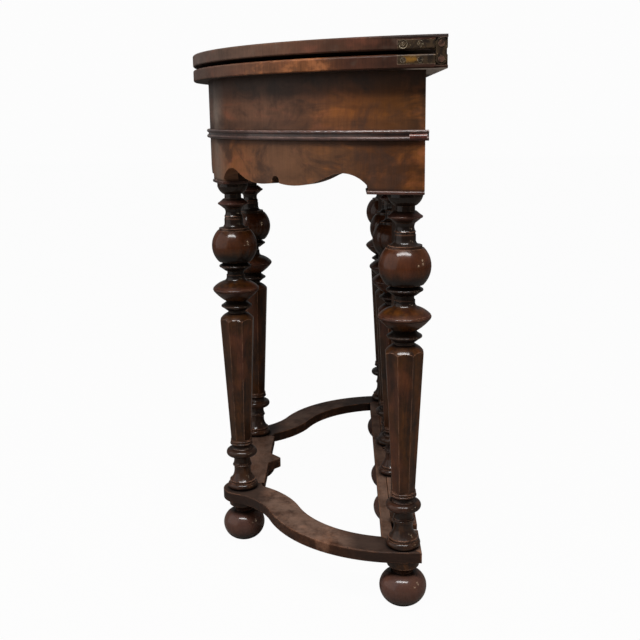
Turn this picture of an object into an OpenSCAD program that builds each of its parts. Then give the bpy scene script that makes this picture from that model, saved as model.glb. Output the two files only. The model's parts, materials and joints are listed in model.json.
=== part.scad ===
// Half-round folding games table. A curved frieze on four turned legs carries two D-shaped leaves.
// The upper leaf folds over to the back, and two gates with a leg each swing out to hold it up.
// Millimetres, +Z up, floor at z = 0, the curved front towards -Y and the hinged back towards +Y.

/* [Leaves] */
// Height of the closed table
table_h = 750; // [700:1:800]
// Radius of the curved front of both leaves
leaf_r = 396; // [380:1:430]
// Depth of a leaf from its curved front to its straight back edge
leaf_depth = 350; // [332:1:367]
// Thickness of each leaf
leaf_t = 16.5; // [15.5:0.5:20]
// Gap between the two closed leaves
leaf_gap = 4.8; // [4.6:0.1:5.4]
// Rounding of the leaf edges
leaf_arris = 2.25; // [2.2:0.05:3]
// Diameter of the rest buttons between the leaves
button_d = 16; // [10:1:24]
// Distance from the front of the leaf in to the front rest button
button_in = 52; // [40:1:80]
// Distance of the two side buttons from the middle
button_side = 245; // [200:5:280]

/* [Frieze] */
// Overhang of the leaves in front of the frieze
front_overhang = 21.8; // [16:0.2:30]
// Overhang of the leaves behind the frame
back_overhang = 22.6; // [18:0.2:28]
// Height of the frieze with its apron
frieze_h = 142; // [130:1:160]
// Thickness of the curved frieze boards
frieze_t = 22; // [18:1:26]
// Width of the block over a front leg, along the frieze
block_w = 65; // [56:1:76]
// Width of the block over a back leg, from front to back
back_block_w = 68; // [60:1:76]
// Thickness of a block behind the frieze board
block_t = 30; // [26:1:36]
// Thickness of the pad moulding under each block
pad_t = 4; // [2:0.5:5]
// How far the pad moulding stands out from its block
pad_out = 1.6; // [0.4:0.1:2]
// Thickness of the flat back rail
rail_t = 19; // [16:1:24]
// Height of the flat back rail
rail_h = 120; // [100:1:130]
// Distance from the front of the back blocks to the back rail
rail_step = 3; // [1:0.5:6]

/* [Apron] */
// Width of the quarter arch beside each block
arch_w = 34.5; // [24:0.5:40]
// Height of the arches above the bottom of the blocks
arch_rise = 21; // [18:0.5:26]
// Height of the upright side of an arch
arch_spring = 5; // [3:0.5:7]
// Height of the lowest point of the lobes above the bottom of the blocks
lobe_lift = 3.5; // [2:0.5:6]
// Place of a lobe between the middle notch and the block, as a share
lobe_share = 0.214; // [0.18:0.002:0.26]
// Width of the notch in the middle of each apron
notch_w = 13.5; // [9:0.5:16]
// Height of the notch above the bottom of the blocks
notch_rise = 15; // [12:0.5:17]

/* [Moulding] */
// Height of the double bead moulding
moulding_h = 12.6; // [11:0.2:14]
// How far the moulding stands out from the frieze
moulding_out = 5; // [4:0.1:7]
// Height of the moulding's lower edge above the bottom of the blocks
moulding_lift = 60.4; // [54:0.2:72]
// How far the moulding runs on behind the frame
moulding_over = 4; // [2:0.5:6]
// Length of the replaced piece at the right back end
patch_len = 18; // [12:1:30]
// Height of the replaced piece
patch_h = 8.6; // [8:0.1:9.2]
// How far the replaced piece stands out from the frieze
patch_out = 6; // [5:0.1:7]
// How far the replaced piece runs on behind the frame
patch_over = 2; // [1:0.5:3]

/* [Legs] */
// Angle of a front leg from the middle of the front
front_leg_angle = 20.3; // [18:0.1:23]
// Distance from the face of the frieze in to a front leg's axis
front_leg_inset = 21.6; // [18:0.2:26]
// Distance from the face of the frieze in to a back leg's axis
back_leg_inset = 38.7; // [33:0.1:42]
// Distance from the back of the frame forward to the back legs' axes
back_leg_setback = 20.4; // [20:0.2:25]
// Radius of the ball in each leg
ball_r = 33.8; // [31:0.1:36]
// Radius of the cup below the ball
cup_r = 34.7; // [32:0.1:36]
// Radius of the sharp rings beside the ball and the cup
ring_r = 22.5; // [20:0.1:25]
// Radius of the cap under the frame
cap_r = 22.3; // [19:0.1:25]
// Radius of the slender necks
neck_r = 12.4; // [11:0.1:13.5]
// Half the width over the flats at the top of the eight-sided shaft
shaft_top = 24.4; // [22:0.1:26]
// Half the width over the flats at the bottom of the eight-sided shaft
shaft_bottom = 15.1; // [13.5:0.1:16]
// Radius of the round base that stands on the stretcher
base_r = 23.5; // [21:0.1:25.5]
// Radius of the dowel at the top of a leg
top_dowel_r = 10; // [8:0.5:11]
// Length of the dowel that enters the block over a leg
top_dowel_len = 38; // [30:1:60]
// Room left over that dowel
top_dowel_room = 2; // [1:0.5:4]
// Radius of the dowel that goes through the stretcher into the foot
low_dowel_r = 7.5; // [6:0.5:8.5]
// Depth of that dowel in the foot
low_dowel_len = 40; // [25:1:45]

/* [Turned members above the shaft, from the top down] */
// Height of the upright part of the cap
cap_h = 5.2; // [4:0.2:9]
// Height of the cap's curve
cap_curve_h = 11; // [8:0.5:13]
// Height of the neck under the cap
upper_neck_h = 7; // [4:0.5:9]
// Height of the upper ring
ring_h = 14; // [11:0.5:18]
// Height of the waist under the upper ring
scotia_h = 12; // [8:0.5:16]
// Height of the small fillets
fillet_h = 3.5; // [2:0.5:5]
// Height of the neck over the ball
collar_neck_h = 6.6; // [5:0.2:9]
// Height of the hollow curve over the ball
collar_flare_h = 7; // [5:0.5:9]
// Height of the collar on the ball
collar_h = 3.6; // [2:0.1:5]
// Height from the middle of the ball to where it is cut off
ball_half_h = 23.4; // [21:0.2:27]
// Height of the rings under the ball and under the cup
low_ring_h = 14; // [10:0.5:16]
// Height of the neck under the ball's ring
ball_neck_h = 6.2; // [4:0.2:8]
// Height of the hollow curve over the cup
cup_flare_h = 6; // [4:0.5:8]
// Height of the cup above its rim
cup_top_h = 12.5; // [10:0.5:15]
// Height of the cup below its rim
cup_low_h = 19; // [16:0.5:22]
// Height of the neck over the shaft
shaft_neck_h = 4; // [3:0.5:6]
// Height of the shaft's rounded shoulder
shoulder_h = 12; // [8:0.5:14]

/* [Turned members below the shaft, from the stretcher up] */
// Height of the round base
base_torus_h = 11; // [9:0.5:13]
// Height of the fillet on the base
base_fillet_h = 3.5; // [2:0.5:5]
// Height of the bell-shaped curve
bell_h = 16; // [13:0.5:19]
// Height of the ankle over the bell
ankle_h = 5.5; // [4:0.5:8]
// Height of the thin ring
thin_ring_h = 5; // [4:0.5:7]
// Height of the waist over the thin ring
low_waist_h = 13; // [10:0.5:15]
// Height of the lower round ring
low_torus_h = 12; // [10:0.5:14]
// Height of the waist under the shaft's beads
shaft_waist_h = 7; // [5:0.5:9]
// Height of each of the two beads under the shaft
bead_h = 3.5; // [2.5:0.5:5]

/* [Feet and stretchers] */
// Height of the bun feet, floor to stretcher
foot_h = 70; // [60:1:80]
// Radius of a bun foot
foot_r = 32.5; // [28:0.5:34]
// Radius of the flat under a bun foot
foot_flat_r = 9; // [7:0.5:14]
// Height of the widest part of a bun foot
foot_mid = 27; // [25:0.5:29]
// Height of the narrowest part of a bun foot
foot_neck_h = 49; // [47:0.5:52]
// Radius of the flange on a bun foot, under the stretcher
foot_flange_r = 22; // [18:0.5:23]
// Thickness of that flange
foot_flange_t = 11; // [8:0.5:13]
// Thickness of the stretchers
stretcher_t = 16; // [14:0.5:20]
// Width of the side stretchers
side_w = 47; // [42:1:52]
// Width of the front stretcher
front_w = 50; // [44:1:56]
// Distance from the back legs' axes forward to the back stretcher's front edge
back_front_w = 28; // [24:0.5:32]
// How far the back stretcher stands out behind the frame
stretcher_out = 3.6; // [1:0.2:5]
// Distance from a front leg's dowel in to the joint between the stretchers
joint_in = 7; // [4:0.5:10]
// Distance from the front legs' axes back to the front stretcher's inner edge
front_edge = 32.6; // [30:0.2:36]
// Radius of the rounded pad under a front leg
pad_r = 31; // [29:0.5:33]
// Radius of the bend of a side stretcher by the front leg
front_bend_r = 132; // [120:1:140]
// Radius of the bend of a side stretcher by the back leg
back_bend_r = 182; // [170:1:190]
// How far the front leg stands outside the middle of that bend
bend_offset = 7; // [4:0.5:10]
// Width of the ear in the middle of the front stretcher
ear_w = 46; // [36:1:60]
// How far the ear points backwards
ear_out = 18.5; // [12:0.5:24]

/* [Gates] */
// Distance from a back leg to the gate's pivot
pivot_in = 73.5; // [68:0.5:80]
// Length of a gate, pivot to leg
gate_len = 182; // [170:1:190]
// Width of a gate's stretcher in front of its leg's axis
gate_front_w = 12; // [11:0.5:13]
// Half the width of the square head of a gate leg
head_half = 21; // [19:0.5:21]
// Radius of the pivot post
post_r = 13; // [11:0.5:14]
// Radius of the pivot post's dowels
pivot_r = 8; // [6:0.5:9]
// Height of a gate's upper rail
gate_rail_h = 80; // [60:1:90]
// Thickness of a gate's upper rail
gate_rail_t = 22; // [18:1:24]
// Height of the cleat that holds the top of a pivot post
cleat_h = 24; // [20:1:30]
// Width of that cleat
cleat_w = 70; // [50:1:90]
// Length of a gate's stretcher beyond its leg's axis
gate_end = 26; // [24:0.5:28]
// Room round the end of a gate's stretcher
gate_end_gap = 2; // [1:0.5:3]
// How far the square part of a pivot post stands out from the round part
post_step = 2; // [1:0.5:3]
// Height of the ring at the bottom of a pivot post
post_ring_h = 6; // [4:0.5:8]
// How far the square part reaches above and below the gate's rail
post_over = 4; // [2:0.5:6]
// Distance from the back edge of the stretcher in to the tongue under a gate's pivot
tongue_in = 6; // [4:0.5:8]
// Gap between the end of the tongue and the full thickness of the gate's stretcher
tongue_gap = 4; // [2:0.5:6]

/* [Hinges] */
// Distance from the leaf's back edge in to the hinge pivots
pivot_inset = 7.7; // [7.5:0.1:7.8]
// Distance from the leaf's meeting face to the hinge pivots
pivot_depth = 6.1; // [5.9:0.1:6.2]
// Length of the hinge plates
plate_len = 57; // [50:1:64]
// Height of the hinge plates
plate_h = 11; // [10:0.5:12]
// Thickness of the hinge plates
plate_t = 3.4; // [3:0.1:4]
// Thickness of the links
link_t = 3.4; // [3:0.1:3.8]
// Radius of the links' ends
link_r = 6.5; // [5.8:0.1:6.8]
// Radius of the hinge pins
pin_r = 2.6; // [2:0.1:3]
// Thickness of a plate's backing behind its link
backing_t = 2; // [1.5:0.1:3]
// Thickness of the heads of the hinge pins
head_t = 0.7; // [0.5:0.1:1.2]
// Radius of the heads of the pins and screws
head_r = 3.6; // [3.2:0.1:4]
// Radius of the screws' shanks
screw_r = 1.6; // [1.2:0.1:2]
// Length of the screws
screw_len = 16; // [10:1:20]

/* [Clearances] */
// Clearance round a turning pin
pin_clear = 0.05; // [0.03:0.01:0.08]
// Gap between faces that slide past each other
slide_clear = 0.3; // [0.2:0.05:0.5]
// Gap between a gate's parts and the frame, side by side
gate_clear = 0.5; // [0.4:0.1:0.8]

/* [Hidden] */

walnut = "#5a3220";
dark_walnut = "#3a2218";
grey_walnut = "#6a584a";
brass = "#8c7638";
steel = "#8a8478";
patch_wood = "#7a3a22";

// Heights of the leaves and the frame
flap_z = table_h - leaf_t;
fixed_z = flap_z - leaf_gap - leaf_t;
fixed_top = fixed_z + leaf_t;
frieze_z = fixed_z - frieze_h;
pad_z = frieze_z - pad_t;
moulding_z = frieze_z + moulding_lift;
stretcher_top = foot_h + stretcher_t;

// Plan of the leaves and the frieze, about the middle of the curve
leaf_back = leaf_depth / 2;
curve_y = leaf_r - leaf_depth / 2;
frieze_r = leaf_r - front_overhang;
inner_r = frieze_r - frieze_t;
frame_back = leaf_back - back_overhang;
back_block_y = frame_back - back_block_w;
rail_y = back_block_y + rail_step;
beyond = leaf_r + 60;
past_back = 100;
before_plate = 45;

// Places of the legs
back_leg_y = frame_back - back_leg_setback;
back_leg_r = frieze_r - back_leg_inset;
back_leg_x = sqrt(back_leg_r * back_leg_r - (curve_y - back_leg_y) * (curve_y - back_leg_y));
front_leg_r = frieze_r - front_leg_inset;
front_leg_x = front_leg_r * sin(front_leg_angle);
front_leg_y = curve_y - front_leg_r * cos(front_leg_angle);
block_half_angle = block_w / 2 / frieze_r * 180 / PI;
block_inner_r = inner_r - block_t;
back_block_x = back_leg_x - top_dowel_r - block_t / 2;
back_block_angle = acos((curve_y - back_block_y) / frieze_r);

// Aprons: the quarter arch and the lobe that runs into it
blend = 0.05;
arch_r = (arch_w * arch_w + pow(arch_rise - arch_spring, 2)) / (2 * (arch_rise - arch_spring));
side_angle = (front_leg_angle + block_half_angle + back_block_angle) / 2;
side_half = (back_block_angle - front_leg_angle - block_half_angle) / 2 * PI / 180 * frieze_r;
front_half = (front_leg_angle - block_half_angle) * PI / 180 * frieze_r;

// Where the replaced piece of the moulding starts
patch_angle = acos((curve_y - frame_back) / frieze_r) - patch_len / frieze_r * 180 / PI;

// Side stretchers: two bends that meet tangentially, about bend_back and bend_front
bend_back = [back_leg_x - back_bend_r, back_leg_y];
leg_apart = [front_leg_x, front_leg_y] - bend_back;
leg_dist = norm(leg_apart);
bend_sum = front_bend_r + back_bend_r;
leg_bend_r = front_bend_r + bend_offset;
bend_along = (bend_sum * bend_sum - leg_bend_r * leg_bend_r + leg_dist * leg_dist) / (2 * leg_dist);
bend_across = sqrt(bend_sum * bend_sum - bend_along * bend_along);
bend_front = bend_back + leg_apart / leg_dist * bend_along
    + [-leg_apart[1], leg_apart[0]] / leg_dist * bend_across;
bend_turn = bend_front - bend_back;
bend_angle = atan2(bend_turn[1], bend_turn[0]);
front_leg_turn = [front_leg_x, front_leg_y] - bend_front;
front_leg_bearing = atan2(front_leg_turn[1], front_leg_turn[0]);
bend_lap = 0.05;

// Back stretcher and its mitres with the side stretchers
back_edge = frame_back + stretcher_out;
back_front_edge = back_leg_y - back_front_w;
mitre_in_x = bend_back[0] + sqrt(pow(back_bend_r - side_w / 2, 2) - pow(back_front_w, 2));
mitre_out_x = back_leg_x + side_w / 2;
front_joint_x = front_leg_x - low_dowel_r - joint_in;
front_inner_y = front_leg_y + front_edge;

// Gates: pivot, leg and the pocket that the gate's stretcher lies in
gate_pivot_x = back_leg_x - pivot_in;
gate_leg_x = gate_pivot_x - gate_len;
gate_back_w = back_edge - back_leg_y;
pocket_in_x = gate_leg_x - gate_end - gate_end_gap;
pocket_front_y = back_leg_y - gate_front_w - gate_clear;
pocket_sweep = norm([gate_front_w, gate_back_w]) + gate_clear;
pocket_out_x = gate_pivot_x + pocket_sweep;
gate_low = foot_h - gate_clear;
gate_high = stretcher_top + gate_clear;
lap_z = foot_h + stretcher_t / 2;
tongue_r = gate_back_w - tongue_in;
tongue_x = gate_pivot_x - tongue_r - tongue_gap;
gate_top = fixed_z - gate_clear;
cleat_z = fixed_z - cleat_h;
post_top = cleat_z - slide_clear;
gate_rail_z = post_top - gate_rail_h - post_over;

// Hinges: pivots, links and the recess that they turn in
pivot_y = leaf_back - pivot_inset;
pivot_low_z = fixed_top - pivot_depth;
pivot_high_z = flap_z + pivot_depth;
link_out_x = sqrt(leaf_r * leaf_r - pow(curve_y - pivot_y, 2));
link_in_x = link_out_x - link_t;
recess_x = link_in_x - slide_clear;
recess_r = link_r + slide_clear;
plate_front_y = leaf_back - plate_len;
strip_back_y = pivot_y - recess_r;

// Heights of the turned members, above the shaft from the top of the leg and below it from the stretcher
cap_low = -cap_h - cap_curve_h;
ring2_top = cap_low - upper_neck_h;
scotia_top = ring2_top - ring_h;
fillet_top = scotia_top - scotia_h;
flare_top = fillet_top - fillet_h;
collar_top = flare_top - collar_neck_h - collar_flare_h;
ball_z = collar_top - collar_h - ball_half_h;
ring3_top = ball_z - ball_half_h;
ball_neck_top = ring3_top - low_ring_h;
cup_fillet_top = ball_neck_top - ball_neck_h;
cup_flare_top = cup_fillet_top - fillet_h;
cup_top = cup_flare_top - cup_flare_h;
cup_mid = cup_top - cup_top_h;
ring5_top = cup_mid - cup_low_h;
shaft_neck_top = ring5_top - low_ring_h;
shaft_high = shaft_neck_top - shaft_neck_h;

fillet_z = base_torus_h;
bell_z = fillet_z + base_fillet_h;
ankle_z = bell_z + bell_h;
thin_ring_z = ankle_z + ankle_h;
low_waist_z = thin_ring_z + thin_ring_h;
low_torus_z = low_waist_z + low_waist_h;
shaft_waist_z = low_torus_z + low_torus_h;
bead_z = shaft_waist_z + shaft_waist_h;
shaft_low = bead_z + 2 * bead_h;

// Copies a piece to the other side of the table
module other_side() {
    mirror([1, 0, 0]) children();
}

// Everything in front of a plane that faces back
module before(y) {
    translate([-beyond, -beyond, -1]) cube([2 * beyond, beyond + y, table_h + 2]);
}

// Part of a ring about the middle of the curve, between two angles from the front
module curved_bar(a0, a1, r0, r1, z0, z1) {
    translate([0, curve_y, z0])
        rotate_extrude(angle = a1 - a0, start = a0 - 90, $fn = 240)
            translate([r0, 0]) square([r1 - r0, z1 - z0]);
}

// Outline of a leaf from its middle out to its rounded edge
module leaf_edge() {
    square([leaf_r - leaf_arris, leaf_t]);
    translate([0, leaf_arris]) square([leaf_r, leaf_t - 2 * leaf_arris]);
    for (z = [leaf_arris, leaf_t - leaf_arris]) translate([leaf_r - leaf_arris, z]) circle(leaf_arris, $fn = 32);
}

// The wood taken off the back edge where the leaves meet
module meeting_arris() {
    difference() {
        translate([-beyond, leaf_back - leaf_arris, fixed_top - leaf_arris])
            cube([2 * beyond, leaf_arris + 1, leaf_arris + 1]);
        translate([-beyond - 1, leaf_back - leaf_arris, fixed_top - leaf_arris])
            rotate([0, 90, 0]) cylinder(h = 2 * beyond + 2, r = leaf_arris, $fn = 48);
    }
}

// Strip of a hinge plate along the leaf's edge, with the backing behind the link
module plate_shape() {
    intersection() {
        curved_bar(before_plate, past_back, leaf_r - plate_t, leaf_r, fixed_top - plate_h, fixed_top);
        translate([0, plate_front_y, 0]) cube([beyond, strip_back_y - plate_front_y, table_h]);
    }
    translate([recess_x - backing_t, strip_back_y - 3, pivot_low_z - recess_r])
        cube([backing_t, leaf_back - strip_back_y + 3, fixed_top - pivot_low_z + recess_r]);
}

// Open recess in a leaf's end that the link turns in
module link_recess() {
    translate([recess_x, strip_back_y, pivot_low_z - recess_r])
        cube([beyond, leaf_back, leaf_t]);
}

// Places the two screws of a hinge plate, square to the leaf's edge
module at_screws() {
    for (share = [0.15, 0.6]) {
        y = plate_front_y + share * (strip_back_y - plate_front_y);
        lean = asin((curve_y - y) / leaf_r);
        translate([0, curve_y, fixed_top - plate_h / 2])
            rotate([0, 0, -lean]) translate([leaf_r, 0, 0]) rotate([0, -90, 0]) children();
    }
}

// One countersunk screw, its flat head at z = 0 and its shank along +Z
module screw_shape() {
    translate([0, 0, 0.2]) cylinder(h = 1, r = head_r, $fn = 48);
    translate([0, 0, 1.2]) cylinder(h = 2, r1 = head_r, r2 = screw_r, $fn = 48);
    translate([0, 0, 0.2]) cylinder(h = screw_len, r = screw_r, $fn = 32);
}

// Turns a piece of the fixed leaf's hinge over into the flap
module into_flap() {
    translate([0, 0, fixed_top + flap_z]) mirror([0, 0, 1]) children();
}

// A half-round board with rounded edges
module half_round() {
    difference() {
        intersection() {
            translate([0, curve_y, fixed_z]) rotate_extrude($fn = 240) leaf_edge();
            before(leaf_back);
        }
        meeting_arris();
    }
}

// The fixed leaf cut out for its hinges; the flap is the same leaf turned over
module leaf_blank() {
    difference() {
        half_round();
        for (side = [0, 1]) mirror([side, 0, 0]) {
            plate_shape();
            link_recess();
            at_screws() screw_shape();
        }
    }
}

module fixed_leaf() {
    color(walnut) leaf_blank();
}

module flap_leaf() {
    color(walnut) into_flap() leaf_blank();
}

module rest_buttons() {
    color(dark_walnut) {
        translate([0, button_in - leaf_back, fixed_top])
            cylinder(h = leaf_gap - slide_clear / 3, d = button_d, $fn = 48);
        for (x = [-button_side, button_side]) translate([x, 0, fixed_top])
            cylinder(h = leaf_gap - slide_clear / 3, d = button_d, $fn = 48);
    }
}

// Half of the shape sawn out under an apron: a quarter arch by the block and a lobe by the middle
module apron_half(half) {
    arch = [half - arch_w, arch_rise - arch_r];
    lobe_s = half * lobe_share;
    drop = lobe_lift - arch[1];
    lobe_r = (pow(arch[0] - lobe_s, 2) + drop * drop - arch_r * arch_r) / (2 * (arch_r - drop));
    lobe = [lobe_s, lobe_lift + lobe_r];
    meet = arch + (lobe - arch) * arch_r / (arch_r + lobe_r);
    intersection() {
        translate(arch) circle(arch_r, $fn = 120);
        translate([0, -pad_t]) square([half, arch_rise + 2 * pad_t]);
    }
    difference() {
        translate([0, -pad_t]) square([meet[0], arch_rise + pad_t]);
        translate(lobe) circle(lobe_r + blend, $fn = 240);
    }
}

// Saws an apron into the lower edge of the frieze, about the given angle from the front
module apron_cut(angle, half) {
    depth = frieze_t * 4;
    half_angle = half / frieze_r * 180 / PI;
    intersection() {
        curved_bar(angle - half_angle, angle + half_angle, inner_r - 1, frieze_r + 1,
            frieze_z - pad_t, frieze_z + 2 * arch_rise);
        translate([0, curve_y, frieze_z]) union() {
            for (side = [-1, 1])
                rotate([90, 0, angle + side * half_angle / 2]) translate([0, 0, frieze_r - depth + frieze_t])
                    linear_extrude(depth) scale([side, 1]) translate([-half / 2, 0]) apron_half(half);
            rotate([90, 0, angle]) translate([0, 0, frieze_r - depth + frieze_t])
                linear_extrude(depth) {
                    translate([0, notch_rise - notch_w / 2]) circle(d = notch_w, $fn = 48);
                    translate([-notch_w / 2, -pad_t]) square([notch_w, notch_rise - notch_w / 2 + pad_t]);
                }
        }
    }
}

module frieze_right() {
    color(walnut) difference() {
        intersection() {
            curved_bar(front_leg_angle, past_back, inner_r, frieze_r, frieze_z, fixed_z);
            before(frame_back);
        }
        apron_cut(side_angle, side_half);
        top_dowel(front_leg_x, front_leg_y);
    }
}

module frieze_left() {
    other_side() frieze_right();
}

module frieze_front() {
    color(walnut) difference() {
        curved_bar(-front_leg_angle, front_leg_angle, inner_r, frieze_r, frieze_z, fixed_z);
        apron_cut(0, front_half);
        for (x = [-front_leg_x, front_leg_x]) top_dowel(x, front_leg_y);
    }
}

// A round hole for the dowel at the top of a leg
module top_dowel(x, y) {
    translate([x, y, pad_z - 1])
        cylinder(h = 1 + pad_t + top_dowel_len + top_dowel_room, r = top_dowel_r, $fn = 64);
}

module block_front_right() {
    color(dark_walnut) difference() {
        curved_bar(front_leg_angle - block_half_angle, front_leg_angle + block_half_angle,
            block_inner_r, inner_r, frieze_z, fixed_z);
        top_dowel(front_leg_x, front_leg_y);
    }
}

module block_front_left() {
    other_side() block_front_right();
}

// Plan of a back block: the corner inside the curve, grown by a margin at its front and inner side
module corner_plan(r, margin) {
    intersection() {
        translate([0, curve_y]) circle(r, $fn = 240);
        translate([back_block_x - margin, back_block_y - margin])
            square([beyond, back_block_w + margin]);
    }
}

module block_back_right() {
    color(dark_walnut) difference() {
        translate([0, 0, frieze_z]) linear_extrude(frieze_h) corner_plan(inner_r, 0);
        top_dowel(back_leg_x, back_leg_y);
    }
}

module block_back_left() {
    other_side() block_back_right();
}

module back_rail() {
    color(dark_walnut) translate([-back_block_x, rail_y, fixed_z - rail_h])
        cube([2 * back_block_x, rail_t, rail_h]);
}

// Cleat behind the back rail that holds the top of a pivot post
module cleat_right() {
    color(dark_walnut) difference() {
        translate([gate_pivot_x - cleat_w / 2, rail_y + rail_t, cleat_z])
            cube([cleat_w, frame_back - rail_y - rail_t, cleat_h]);
        translate([gate_pivot_x, back_leg_y, cleat_z - 1])
            cylinder(h = cleat_h * 0.85, r = pivot_r + pin_clear, $fn = 64);
    }
}

module cleat_left() {
    other_side() cleat_right();
}

// Outline of the moulding: two beads on a thin back
module bead_pair() {
    bead = moulding_h / 5.4;
    translate([frieze_r, 0]) square([moulding_out - bead, moulding_h]);
    for (z = [bead, moulding_h - bead]) translate([frieze_r + moulding_out - bead, z]) circle(bead, $fn = 40);
}

// Outline of what is left of the moulding over the replaced piece
module bead_rest() {
    difference() {
        bead_pair();
        translate([frieze_r - 1, -1]) square([moulding_out + 2, patch_h + 1]);
    }
}

// Outline of the replaced piece: one plain nosing
module patch_nosing() {
    nose = patch_h / 2.2;
    translate([frieze_r, 0]) square([patch_out - nose, patch_h - slide_clear / 3]);
    intersection() {
        translate([frieze_r + patch_out - nose, patch_h / 2]) circle(nose, $fn = 40);
        translate([frieze_r, 0.1]) square([patch_out, patch_h - 0.2 - slide_clear / 3]);
    }
}

// A length of the moulding between two angles from the front, that runs on behind the frame
module moulding(a0, a1, over = moulding_over) {
    intersection() {
        translate([0, curve_y, moulding_z])
            rotate_extrude(angle = a1 - a0, start = a0 - 90, $fn = 240) children();
        before(frame_back + over);
    }
}

module moulding_right() {
    color(dark_walnut) {
        moulding(front_leg_angle, patch_angle) bead_pair();
        moulding(patch_angle - blend, past_back) bead_rest();
        difference() {
            moulding(patch_angle, past_back) bead_pair();
            before(frame_back + patch_over);
        }
    }
}

module moulding_front() {
    color(dark_walnut) moulding(-front_leg_angle, front_leg_angle) bead_pair();
}

module moulding_left() {
    color(dark_walnut) moulding(-past_back, -front_leg_angle) bead_pair();
}

module moulding_patch() {
    color(patch_wood) moulding(patch_angle, past_back, patch_over - slide_clear / 3) patch_nosing();
}

module pad_front_right() {
    grow = pad_out / frieze_r * 180 / PI;
    color(dark_walnut) difference() {
        curved_bar(front_leg_angle - block_half_angle - grow, front_leg_angle + block_half_angle + grow,
            block_inner_r - pad_out, frieze_r + pad_out, pad_z, frieze_z);
        top_dowel(front_leg_x, front_leg_y);
    }
}

module pad_front_left() {
    other_side() pad_front_right();
}

module pad_back_right() {
    color(dark_walnut) difference() {
        translate([0, 0, pad_z]) linear_extrude(pad_t) corner_plan(frieze_r + pad_out, pad_out);
        top_dowel(back_leg_x, back_leg_y);
    }
}

module pad_back_left() {
    other_side() pad_back_right();
}

// The parts of a turned outline are drawn as [radius, height]

// A plain round length
module drum(z0, z1, r) {
    translate([0, z0]) square([r, z1 - z0]);
}

// A round bead of the given height, its outermost point at r
module torus(z0, z1, r) {
    half = (z1 - z0) / 2;
    drum(z0, z1, r - half);
    translate([r - half, z0 + half]) circle(half, $fn = 40);
}

// A ring that slopes out to a sharp, slightly rounded rim
module sharp_ring(z0, z1, r, root) {
    rim = 1.7;
    mid = (z0 + z1) / 2;
    polygon([[0, z0], [root, z0], [r - rim, mid - rim], [r - rim, mid + rim], [root, z1], [0, z1]]);
    translate([r - rim, mid]) circle(rim, $fn = 24);
}

// A hollow curve that stands upright at z0 with radius r0 and spreads to r1 at z1
module flare(z0, z1, r0, r1) {
    bend = (pow(r1 - r0, 2) + pow(z1 - z0, 2)) / (2 * (r1 - r0));
    difference() {
        drum(min(z0, z1), max(z0, z1), r1);
        translate([r0 + bend, z0]) circle(bend, $fn = 120);
    }
}

// A full curve that stands upright at z0 with radius r0 and draws in to r1 at z1
module swell(z0, z1, r0, r1) {
    bend = (pow(r0 - r1, 2) + pow(z1 - z0, 2)) / (2 * (r0 - r1));
    drum(min(z0, z1), max(z0, z1), max(r0 - bend, min(r0, r1) / 2));
    intersection() {
        translate([r0 - bend, z0]) circle(bend, $fn = 120);
        drum(min(z0, z1), max(z0, z1), r0);
    }
}

// A curve from radius r0 at z0 to r1 at z1 that stands out from the straight line by bulge
module slope(z0, z1, r0, r1, bulge) {
    run = norm([r1 - r0, z1 - z0]);
    bend = (run * run / 4 + bulge * bulge) / (2 * bulge);
    turn = (z1 > z0 ? 1 : -1) * (bend - bulge) / run;
    low = min(z0, z1);
    polygon([[0, z0], [r0 - blend, z0], [r1 - blend, z1], [0, z1]]);
    intersection() {
        translate([(r0 + r1) / 2 - (z1 - z0) * turn, (z0 + z1) / 2 + (r1 - r0) * turn])
            circle(bend, $fn = 180);
        drum(low, low + abs(z1 - z0), max(r0, r1) + 1);
    }
}

// A waist that is narrowest in its middle
module waist(z0, z1, r_end, r_mid) {
    dip = r_end - r_mid;
    bend = (pow((z1 - z0) / 2, 2) + dip * dip) / (2 * dip);
    difference() {
        drum(z0, z1, r_end);
        translate([r_mid + bend, (z0 + z1) / 2]) circle(bend, $fn = 120);
    }
}

// Turned members above the shaft; z = 0 is the top of the leg
module head_turning() {
    cup_rim = cup_top_h / 5;
    drum(-cap_h, 0, cap_r);
    slope(-cap_h, cap_low, cap_r - blend, neck_r + 1.8, 1.2);
    drum(ring2_top, cap_low, neck_r);
    sharp_ring(scotia_top, ring2_top, ring_r, neck_r + 2);
    waist(fillet_top, scotia_top, neck_r + 1.5, neck_r - 0.7);
    drum(flare_top, fillet_top, neck_r + 0.8);
    drum(collar_top, flare_top, neck_r + 1.4);
    flare(collar_top + collar_flare_h, collar_top, neck_r + 1.4, ring_r - 0.4 - blend);
    drum(collar_top - collar_h, collar_top, ring_r - 0.4);
    intersection() {
        translate([0, ball_z]) circle(ball_r, $fn = 120);
        drum(ball_z - ball_half_h, ball_z + ball_half_h, ball_r);
    }
    sharp_ring(ball_neck_top, ring3_top, ring_r + 1.5, neck_r + 3);
    drum(cup_fillet_top, ball_neck_top, neck_r);
    drum(cup_flare_top, cup_fillet_top, neck_r + 1.2);
    flare(cup_flare_top, cup_top, neck_r + 1.2, neck_r + 5);
    slope(cup_mid + cup_rim, cup_top, cup_r - cup_rim / 3, neck_r + 4.6, 1.4);
    drum(cup_mid - cup_rim, cup_mid + cup_rim, cup_r - cup_rim);
    translate([cup_r - cup_rim, cup_mid]) circle(cup_rim + blend, $fn = 48);
    slope(cup_mid - cup_rim, ring5_top, cup_r - cup_rim / 3, neck_r + 2.6, 1.1);
    sharp_ring(shaft_neck_top, ring5_top, ring_r + 0.7, neck_r + 2.4);
    drum(shaft_high, shaft_neck_top, neck_r + 0.9);
}

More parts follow.
